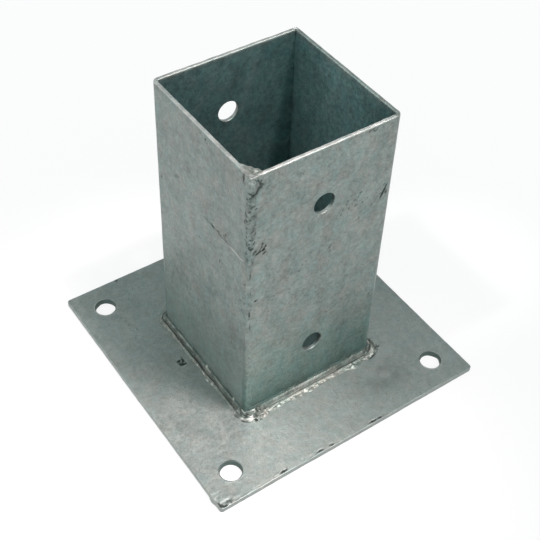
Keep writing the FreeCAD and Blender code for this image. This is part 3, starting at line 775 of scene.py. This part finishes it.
def foot_weld(run, material):
    """A quarter of the foot weld: one straight side and the corner at its end."""
    left = run == "left"
    rows, columns = 260, len(BEAD)
    start = RUNS.index(run) * RUN
    s = np.repeat(start + np.linspace(0, RUN, rows), columns)
    section = np.tile(np.array(BEAD)[:, 0], rows)
    outward = section
    up = np.tile(np.array(BEAD)[:, 1], rows)
    along = np.c_[s, s * 0, s * 0]
    swell = 1 + 0.09 * noise(along, 9.0, 51) + 0.07 * noise(along, 3.2, 52)
    up = np.where(up > 0, up * swell, up)
    # the skirt's width runs over into the next and the last run's at the ends
    spread = np.full(len(s), SKIRT[run])
    following = RUNS[(RUNS.index(run) + 1) % 4]
    spread += (SKIRT[following] - spread) * ramp(s - start, RUN - 5, RUN + 5)
    previous = RUNS[RUNS.index(run) - 1]
    spread += (SKIRT[previous] - spread) * ramp(start - s, -5, 5)
    for name, at, length, more in SPREADS:
        spread += more * bell(past(s, name, at), length * 0.6)
    spread += 0.10 * noise(along, 2.6, 54)
    beyond = np.maximum(outward - SKIRT_FROM, 0)
    narrow = 0.84 if left else 1.0
    outward = np.minimum(outward, SKIRT_FROM) * narrow * (1 + 0.07 * noise(along, 8.0, 53))
    outward = outward + beyond * np.maximum(spread, 0.2)
    # relief: grain, streaks along the bead, crust, ripples, lumps
    crusty = np.minimum(sum(bell(past(s, name, at), length) for name, at, length in CRUSTS), 1)
    grain = np.c_[s, outward, up]
    streaks = fbm(np.c_[s * 0.22, outward, s * 0], 0.75, 62, 2)
    body = ramp(section, -0.05, 0.6)
    skirt = ramp(section, 2.5, 3.1) * (1 - ramp(section, 5.2, 6.6))
    up = up + body * (0.13 * fbm(grain, 1.6, 55, 2) + 0.10 * streaks * (1 - skirt))
    up = up + skirt * 0.20 * ramp(fbm(grain, 1.3, 56, 2), 0.15, 0.8)
    up = up + crusty * ramp(section, 0.4, 1.2) * (0.62 * fbm(grain, 1.25, 65, 3) + 0.05)
    pitch = 1.9
    curve = 0.8 * np.maximum(section, 0) ** 1.4
    phase = (s + curve) * 2 * math.pi / pitch + 2 * noise(along, 7.0, 57)
    up = up + 0.07 * np.sin(phase) * ramp(section, 0.2, 0.8) * (1 - ramp(section, 1.7, 2.2))
    for name, at, out, length, width, height in FOOT_LUMPS:
        reach = np.hypot(past(s, name, at) / length, (outward - out) / width)
        reach = reach * (1 + 0.3 * noise(grain, 1.4, 58))
        up = up + height * (1 - ramp(reach, 0.25, 1.25)) * ramp(section, -0.1, 0.4)
    # the back edge runs down inside the wall and the plate, out of sight
    up[section < 0] = -PLATE_TOP
    x, y = around_foot(s, outward)
    points = np.c_[x, y, PLATE_TOP + up]
    # tone: painted shade in the valley and at the toe, painted highlights on the ridge and the
    # lip; none of them at the crusts and the left rear corner
    (valley_width, valley_shade, ridge_at, ridge_width, toe_shade, lip_at,
     lip_highlight) = LEFT_BEAD_SHADING if left else OTHER_BEAD_SHADING
    plain = (1 - crusty) * (1 - bell(past(s, "left", -2.4), 2.8))
    if left:
        plain = plain * (1 - 0.75 * ramp(s - start, 40, 54))
    valley = bell(section - 2.25, valley_width) * (0.70 + 0.40 * noise(along, 6.0, 59)) * plain
    # hot: where the ridge's painted highlight shows
    hot = ramp(noise(along, 5.0, 63) + 0.5 * noise(along, 1.3, 64), -0.25, 0.5)
    if run == "front":
        hot = hot * (1 - 0.75 * ramp(s - start, 38, 52)) + 0.25 * (s - start < 40)
    ridge = bell(section - ridge_at, ridge_width) * hot * plain
    lip = bell(section - lip_at, 0.28) * ramp(fbm(grain, 1.2, 60, 2), 0.05, 0.7)
    lip = lip * (1 - 0.7 * crusty)
    # toe: painted shade where the bead meets the wall, dark and greenish like the sleeve's foot
    toe = 1 - ramp(section, 0.40, 0.85)
    dark = valley_shade * valley + toe_shade * toe + 0.24 * ramp(streaks, -0.1, 0.7) * (1 - skirt)
    dark += 0.22 * (1 - skirt) - 0.60 * ridge - lip_highlight * lip
    if left:
        dark += 0.16 * ramp(section, 1.2, 1.6) * (1 - ramp(section, 3.4, 4.8))
    dark += 0.35 * ramp(fbm(grain, 1.0, 61, 2), 0.35, 1.0) * skirt
    speckle = fbm(grain, 0.9, 66, 2)
    speckle = 0.75 * ramp(speckle, 0.05, 0.5) - 0.75 * ramp(-speckle, 0.15, 0.55)
    dark += crusty * ramp(section, 0.3, 1.0) * speckle
    if left:
        # its small lumps are bright
        for name, at, out, length, width, _ in FOOT_LUMPS:
            if name == run and length < 1.2:
                reach = np.hypot((s - start - at) / length, (outward - out) / width)
                dark -= 1.1 * (1 - ramp(reach, 0.3, 1.4))
    return make_mesh(f"foot_bead_{run}", points, [grid_faces(rows, columns)], material,
                     {"dark": np.clip(dark, -0.9, 1), "foot": toe})


# ---- upright seams

# Lumps on the front seam: (across, height, half width, half height, rise). Across counts
# from the corner, + on the front wall.
SEAM_LUMPS = [
    (0.4, 148.8, 2.3, 3.2, 0.7), (-1.8, 149.8, 1.4, 2.6, 0.4), (1, 142.4, 1, 0.9, 0.45),
    (3.5, 147, 1.5, 2.5, -0.6), (5, 149.8, 0.5, 2.2, -0.4), (1.6, 144.7, 1.7, 0.6, -0.45),
    (-3.7, 149.8, 0.7, 2.6, -0.45), (-2.7, 146.2, 0.5, 1.6, -0.4), (0.4, 139.5, 1.2, 1.6, 0.25),
    (1.4, 136.6, 0.8, 1.3, -0.3), (-0.8, 133.6, 1, 1.6, 0.25), (1.6, 130.8, 0.9, 1.5, -0.35),
    (0.2, 128.4, 1.2, 1.3, 0.3), (1.9, 125.8, 0.8, 1.3, -0.35), (-0.6, 122.5, 1, 1.6, 0.2),
    (0.8, 118.5, 1.2, 1.2, 0.3), (3.4, 113.6, 2.3, 2.6, 0.45), (6, 114.8, 1.3, 1, -0.4),
    (3.8, 110.8, 1.6, 0.9, -0.45), (6.6, 111.9, 0.9, 1.2, -0.4), (7.5, 109.9, 0.8, 0.8, -0.3),
    (1.2, 110.6, 0.8, 1.6, -0.35), (0.4, 106.5, 1, 2, 0.2), (0.6, 74.4, 0.35, 2.4, -0.35),
    (3.2, 13.5, 0.4, 3.2, -0.3),
]
# Undercuts, pits and cold laps along the front seam, as marks with u counted from the corner
SEAM_MARKS = [
    (-4.2, 150.2, 2, 0.5, 85, -0.25, 0.95), (-3.1, 148.2, 1.2, 0.45, 80, -0.2, 0.75),
    (1.5, 143.9, 1.3, 0.45, 10, -0.25, 1), (3, 145.1, 1.8, 0.5, 50, -0.3, 0.95),
    (4.4, 146.8, 1.6, 1.2, 70, -0.4, 0.8), (3.6, 150.2, 1.3, 0.35, -60, -0.2, 0.85),
    (-0.2, 145, 1.2, 0.4, -45, -0.2, 0.85), (-2, 146.9, 1.3, 0.55, -55, -0.25, 0.9),
    (4.3, 148.9, 0.9, 0.7, 60, -0.3, 0.6), (2.2, 149.4, 0.8, 0.35, 20, -0.15, 0.55),
    (2.4, 151.1, 1, 0.3, -40, -0.15, 0.75), (4.5, 149, 1.5, 0.38, 80, -0.2, 0.9),
    (-1.7, 139, 0.5, 0.35, 30, -0.15, 0.7), (1.8, 138, 0.6, 0.4, 60, -0.15, 0.7),
    (2.8, 136.2, 0.6, 0.4, 20, -0.15, 0.8), (-2.4, 133.5, 0.8, 0.35, 80, -0.15, 0.65),
    (0.6, 131.2, 0.6, 0.4, 40, -0.12, 0.5), (-3, 128.5, 0.9, 0.35, 85, -0.15, 0.7),
    (2.3, 127.6, 0.7, 0.4, 50, -0.15, 0.75), (1.5, 124.6, 1.1, 0.35, 20, -0.2, 0.85),
    (2.6, 122.9, 0.9, 0.35, 80, -0.2, 0.85), (-1.2, 121.4, 1, 0.35, 60, -0.15, 0.7),
    (0.7, 119.8, 0.9, 0.35, -30, -0.15, 0.75), (-2.6, 118.6, 0.7, 0.35, 30, -0.12, 0.6),
    (2, 117.6, 0.9, 0.45, 50, -0.2, 0.85), (1, 114.8, 1, 0.55, 80, -0.2, 0.85),
    (6.4, 115.2, 0.7, 0.5, 60, -0.25, 0.9), (5.6, 113, 1.9, 0.42, 45, -0.3, 1),
    (2.6, 112.4, 1.4, 0.6, 60, -0.25, 0.8), (4.3, 110.8, 1.6, 0.6, 20, -0.3, 0.95),
    (7, 111.5, 1.2, 0.8, 50, -0.35, 1), (7.7, 109.5, 1, 0.5, 30, -0.25, 0.9),
    (8, 113, 0.9, 0.4, 80, -0.2, 0.9), (-0.8, 108.4, 1.2, 0.6, 80, -0.15, 0.6),
    (1.6, 106.6, 1.1, 0.45, 75, -0.15, 0.6), (0.9, 99, 2, 0.35, 88, -0.12, 0.55),
    (-2.2, 92.5, 0.8, 0.35, 50, -0.1, 0.5), (1.2, 88, 1.6, 0.3, 88, -0.1, 0.5),
    (3.9, 82, 0.6, 0.55, 0, -0.2, 1), (-2, 80.8, 0.9, 0.4, 70, -0.1, 0.55),
    (0.9, 74.4, 2.4, 0.3, 88, -0.15, 0.85), (1.1, 66, 2, 0.3, 88, -0.1, 0.5),
]


def seam_skin(name, half_turn, material, lumps, marks, seed):
    """A seam's cap round the sleeve's corner, feathered into both walls.

    w runs across it from the corner, + on the holed wall; body is 1 on the cap, 0 beyond.
    """
    step = 0.25 if marks else 0.5
    across = stops_to_lines([(-6.5, step), (-1.6, 0.26), (1.6, step), (10.0, 1)])
    heights = stops_to_lines([(PLATE_TOP, 0.5), (60.0, step * 1.2), (RIM - 0.5, 0.2),
                              (RIM - 0.08, 1)])
    w, z = (a.ravel() for a in np.meshgrid(across, heights, indexing="ij"))
    # walk round the corner on a small radius
    cap = 1.3
    angle = np.clip(w / cap, -math.pi / 4, math.pi / 4)
    turn = angle + math.pi / 4
    out = np.stack([-np.cos(turn), -np.sin(turn)], -1)
    x = -(FACE - cap) + out[:, 0] * cap + np.maximum(w - cap * math.pi / 4, 0)
    y = -(FACE - cap) + out[:, 1] * cap - np.minimum(w + cap * math.pi / 4, 0)
    where = np.c_[w, z, w * 0]
    reach = np.where(w > 0, 3.4, 3.0) + 0.9 * noise(where * (0, 1, 0), 6.0, seed)
    body = 1 - ramp(abs(w), 1.4, reach)
    # raised, stained and pitted where the arc ran hot, smooth lower down with a painted highlight
    # along the corner
    hot = ramp(z, 104, 110) * (1 - ramp(z, 151, 152.5))
    rise = (0.02 + 0.20 * hot * bool(marks)) * body
    rise = rise + body * (0.16 * fbm(where * (1, 0.7, 1), 2.4, seed + 1, 3) - 0.05)
    dark = 0.16 * body * ramp(fbm(where, 3.0, seed + 2, 3), -0.1, 0.8)
    pits = hot * body * ramp(fbm(where, 1.3, seed + 5, 3), 0.45, 0.85)
    rise = rise - 0.22 * pits
    dark = dark + 0.6 * pits + 0.16 * hot * (1 - ramp(abs(w), 2.5, 5.5))
    # painted highlight along the rounded corner, fading in below 96 mm and full below 70 mm
    dark -= 0.24 * bell(w + 0.7, 0.7) * ramp(-z, -96, -70)
    for cw, cz, width, height, lift in lumps:
        reach = np.hypot((w - cw) / width, (z - cz) / height)
        reach = reach * (1 + 0.28 * noise(where, 1.2, seed + 3))
        inside = 1 - ramp(reach, 0.45, 1.3)
        rise = rise + lift * inside
        dark = dark - (0.30 if lift > 0 else 0.0) * inside
        body = np.maximum(body, inside)
    pressed, tone = local_marks(w, z, marks)
    body = np.maximum(body, np.where(tone > 0.02, 0.5, 0))
    rise = rise + pressed
    # beyond the sheets' own edges a pit stops at their skin
    rise = np.where((abs(w) > 1.7) & (body > 0.02), np.maximum(rise, 0.012), rise)
    dark = np.maximum(dark, tone)
    # past its feathered edge the cap dips below the walls, and its top draws in to the rim
    rise = np.where(body > 0.02, rise, -0.14)
    rise = rise - 0.14 * (1 - ramp(body, 0.0, 0.15))
    rise = rise - 0.45 * ramp(z, RIM - 0.6, RIM)
    points = np.c_[x + out[:, 0] * rise, y + out[:, 1] * rise, z]
    points[:, :2] = np.maximum(points[:, :2], -FACE - 0.9)
    faces = [grid_faces(len(across), len(heights))]
    # close the top back to the sleeve's inside corner
    edge = np.nonzero(abs(across) < 2.9)[0] * len(heights) + len(heights) - 1
    inner = np.full(len(edge), len(points))
    points = np.concatenate([points, [(-INNER, -INNER, RIM - 0.12)]])
    faces.append(np.stack([inner[1:], edge[1:], edge[:-1]], -1))
    # painted highlight on the top, like the rim's
    dark = np.append(dark - 0.5 * ramp(z, RIM - 0.5, RIM - 0.1), -0.5)
    low = np.append(foot_shade_share(z), 0)
    if half_turn:
        points = points * (-1, -1, 1)
    return make_mesh(name, points, faces, material,
                     {"dark": np.clip(dark, -0.8, 1), "foot": low})


def rim_lump(material):
    """Weld metal in the mouth's inside corner, flush with the rim and running out below it."""
    turns = 96
    phi = np.linspace(0, 2 * math.pi, turns, endpoint=False)
    # how far the top reaches from the inside corner, by direction in degrees: 0 is along the
    # front wall
    reach = [(0, 5.0), (20, 4.6), (45, 4.2), (70, 5.6), (90, 8.2), (102, 7.0), (115, 4.2),
             (160, 1.9), (180, 1.85), (200, 2.0), (225, 2.6), (250, 2.0), (270, 1.85), (290, 2.0),
             (335, 4.4), (346, 5.4), (360, 5.0)]
    edge = np.interp(phi, np.radians([a for a, _ in reach]), [r for _, r in reach])
    # rows of points: (share of the reach, drop below the rim), over the top and then down
    rows = [(0.0, 0.0), (0.2, 0.0), (0.4, 0.0), (0.6, 0.0), (0.8, 0.0), (0.93, 0.08), (1.0, 0.35),
            (0.96, 1.2), (0.86, 2.4), (0.74, 3.8), (0.60, 5.2), (0.44, 6.8), (0.28, 8.6),
            (0.12, 10.6), (0.0, 11.6)]
    points, dark = [], []
    for share, drop in rows:
        rho = edge * share
        where = np.c_[rho * np.cos(phi), rho * np.sin(phi), np.full(turns, drop)]
        wobble = 0.35 * fbm(where, 2.0, 71, 2) * (share > 0)
        rho = rho + wobble * (drop > 0.05)
        x = -INNER + rho * np.cos(phi)
        y = -INNER + rho * np.sin(phi)
        # the top is uneven, with a dark dimple near the corner
        on_top = drop < 0.5
        from_dimple = np.hypot(x + 35.0, y + 35.0)
        z = RIM - 0.14 - drop + (0.15 * fbm(where, 1.5, 72, 3) if on_top else 0)
        z = z - 0.2 * bell(from_dimple, 0.9) * on_top
        points.append(np.c_[x, y, np.minimum(z, RIM)])
        # painted highlight on the top, like the rim's; the part running down into the corner gets a
        # little painted shade
        tone = 0.35 * bell(from_dimple, 0.8) + 0.35 * fbm(where, 1.2, 73, 2) - 0.26
        dark.append(tone if on_top else np.full(turns, 0.15))
    points, dark = np.concatenate(points), np.concatenate(dark)
    x, y, z = points.T
    # keep it inside the outer faces
    points[:, 0] = np.maximum(x, -FACE + 0.05 + 0.5 * ramp(-y, 35.5, 37.5))
    points[:, 1] = np.maximum(y, -FACE + 0.05 + 0.5 * ramp(-x, 35.5, 37.5))
    ring = np.arange(turns)
    faces = []
    for row in range(len(rows) - 1):
        a, b = row * turns + ring, row * turns + np.roll(ring, -1)
        faces.append(np.stack([a, a + turns, b + turns, b], -1))
    return make_mesh("rim_lump", points, faces, material, {"dark": dark})


# ---- staging

# Lamps: (name, place, aim, radius, watts, cone in degrees, softness of its edge, colour),
# places in metres
LAMPS = [
    ("key", (0.144, -0.293, 0.85), (-0.085, -0.038, 0.0), 0.09, 42.0, 14.5, 0.45,
     (1.0, 0.86, 0.86)),
    ("key_side", (0.072, -0.332, 0.85), (-0.085, -0.020, 0.0), 0.10, 29.3, 12.5, 0.5,
     (1.0, 0.86, 0.86)),
    ("key_top", (0.14, -0.25, 0.85), (0.010, 0.012, 0.145), 0.035, 20.0, 7.5, 0.5,
     (1.0, 0.95, 0.92)),
    ("mouth", (-0.30, 0.035, 0.72), (0.030, 0.0, 0.135), 0.03, 20.0, 7.0, 0.6, (1, 1, 1)),
]
# Surroundings: their colour, and the dim patch's colour, direction and extent in degrees
SURROUNDINGS = (1.21, 1.247, 1.247, 1)
DIM_PATCH = (0.361, 0.448, 0.448, 1)
DIM_WAY = (0.42, 0.52, 0.745)
DIM_CORE, DIM_EDGE = 22, 48


def stage_floor():
    bpy.ops.mesh.primitive_plane_add(size=6.0, location=(0, 0, 0))
    floor = bpy.context.object
    floor.name = "floor"
    floor.data.materials.append(floor_white())


def world_light():
    """Even pale surroundings with one dim patch, which the plate mirrors towards the camera."""
    world = bpy.data.worlds.new("studio")
    bpy.context.scene.world = world
    world.use_nodes = True
    n = Nodes(world.node_tree)
    way = n.add("ShaderNodeTexCoord").outputs["Generated"]
    inputs = {0: way, 1: tuple(Vector(DIM_WAY).normalized())}
    facing = n.add("ShaderNodeVectorMath", inputs, operation="DOT_PRODUCT")
    low, high = math.cos(math.radians(DIM_EDGE)), math.cos(math.radians(DIM_CORE))
    colour = n.mix(n.remap(facing.outputs["Value"], low, high, 0.0, 1.0), SURROUNDINGS, DIM_PATCH)
    light = n.add("ShaderNodeBackground", {"Color": colour, "Strength": 1.0})
    n.close(light, "ShaderNodeOutputWorld")


def spot(name, at, aim, radius, power, cone, blend, colour):
    data = bpy.data.lights.new(name, "SPOT")
    data.shadow_soft_size = radius
    data.energy = power
    data.color = colour
    data.spot_size = math.radians(cone)
    data.spot_blend = blend
    obj = bpy.data.objects.new(name, data)
    obj.location = at
    obj.rotation_euler = (Vector(aim) - Vector(at)).to_track_quat("-Z", "Y").to_euler()
    bpy.context.scene.collection.objects.link(obj)


def camera():
    """The photograph's view."""
    az, el, roll = (math.radians(a) for a in (CAMERA_AZIMUTH, CAMERA_ELEVATION, CAMERA_ROLL))
    back = Vector((math.sin(az) * math.cos(el), -math.cos(az) * math.cos(el), math.sin(el)))
    right = (-back).cross(Vector((0, 0, 1))).normalized()
    up = right.cross(-back)
    level_right = math.cos(roll) * right + math.sin(roll) * up
    level_up = -math.sin(roll) * right + math.cos(roll) * up
    data = bpy.data.cameras.new("camera")
    data.sensor_width = 36.0
    data.lens = CAMERA_LENS
    data.clip_start = 0.01
    obj = bpy.data.objects.new("camera", data)
    turn = Matrix((level_right, level_up, back)).transposed().to_4x4()
    obj.matrix_world = Matrix.Translation(Vector(CAMERA_AT) * MM) @ turn
    bpy.context.scene.collection.objects.link(obj)
    bpy.context.scene.camera = obj


# ---- build

def show(piece, node):
    """Let a piece stand for a node of the CAD part."""
    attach(piece, "root")
    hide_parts(node)


def main():
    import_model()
    sheet = zinc("zinc_sheet", 0.315, 0.165, rough=(0.36, 0.48), grain=1.15, metallic=0.80)
    plate = zinc("zinc_plate", 0.333, 0.243, rough=(0.44, 0.56), grain=1.0, tint=(0.88, 1.0, 0.95),
                 metallic=0.80, hues=0.05)
    seam = zinc("zinc_seam", 0.315, 0.165, rough=(0.36, 0.48), grain=1.5, spots=0.6, metallic=0.80)
    weld = zinc("zinc_weld", 0.27, 0.15, rough=(0.36, 0.54), grain=1.8, tint=(0.88, 1.0, 0.90),
                spots=0.7)
    show(plate_skin(plate), "base_plate")
    show(sheet_skin("front_sheet_skin", False, sheet), "sleeve_angle_front")
    show(sheet_skin("rear_sheet_skin", True, sheet), "sleeve_angle_rear")
    for run in RUNS:
        show(foot_weld(run, weld), f"foot_weld_{run}")
    front_cap = seam_skin("front_seam_cap", False, seam, SEAM_LUMPS, SEAM_MARKS, 81)
    show(front_cap, "seam_weld_front")
    rear_cap = seam_skin("rear_seam_cap", True, seam, [], [], 91)
    show(rear_cap, "seam_weld_rear")
    lump = rim_lump(weld)
    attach(lump, "root")
    stage_floor()
    world_light()
    for lamp in LAMPS:
        spot(*lamp)
    camera()
    scene = bpy.context.scene
    scene.view_settings.view_transform = "Standard"


main()
